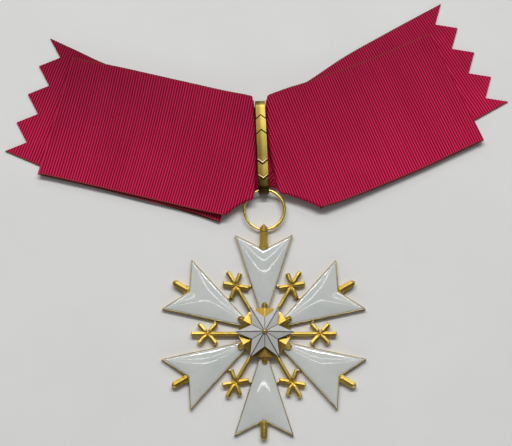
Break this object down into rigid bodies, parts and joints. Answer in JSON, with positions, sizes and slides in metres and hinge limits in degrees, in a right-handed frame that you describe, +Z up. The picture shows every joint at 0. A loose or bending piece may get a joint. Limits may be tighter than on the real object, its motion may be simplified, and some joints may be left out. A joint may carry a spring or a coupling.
{
  "type": "order neck badge",
  "caption": "White enamelled arrow-armed cross with gold asterisks and a raised star, hung by a ring and long gold loop from a folded crimson neck ribbon, lying flat.",
  "frame": {"origin": "middle of the cross's flat back, on the surface that the badge lies on", "axes": "+X to the right across the ribbon's spread, +Y from the cross towards the loop and ribbon, +Z up out of the enamelled front"},
  "size_m": [0.1593, 0.1396, 0.0073],
  "materials": {
    "gilt_cross": "gilt, polished facets",
    "gilt_boss": "gilt, polished facets",
    "gilt_ring": "gilt wire",
    "gilt_loop": "gilt, slightly worn",
    "white_enamel": "glossy fired enamel",
    "star_enamel": "faceted satin enamel",
    "crimson_ribbon": "ribbed moire weave"
  },
  "bodies": {
    "root": {"cross_frame": "gilt_cross", "enamel_arm_1": "white_enamel", "enamel_arm_2": "white_enamel", "enamel_arm_3": "white_enamel", "enamel_arm_4": "white_enamel", "enamel_arm_5": "white_enamel", "enamel_arm_6": "white_enamel", "centre_boss": "gilt_boss", "centre_star": "star_enamel", "centre_pin": "gilt_boss", "jump_ring": "gilt_ring", "suspension_loop": "gilt_loop", "ribbon": "crimson_ribbon"}
  },
  "joints": []
}
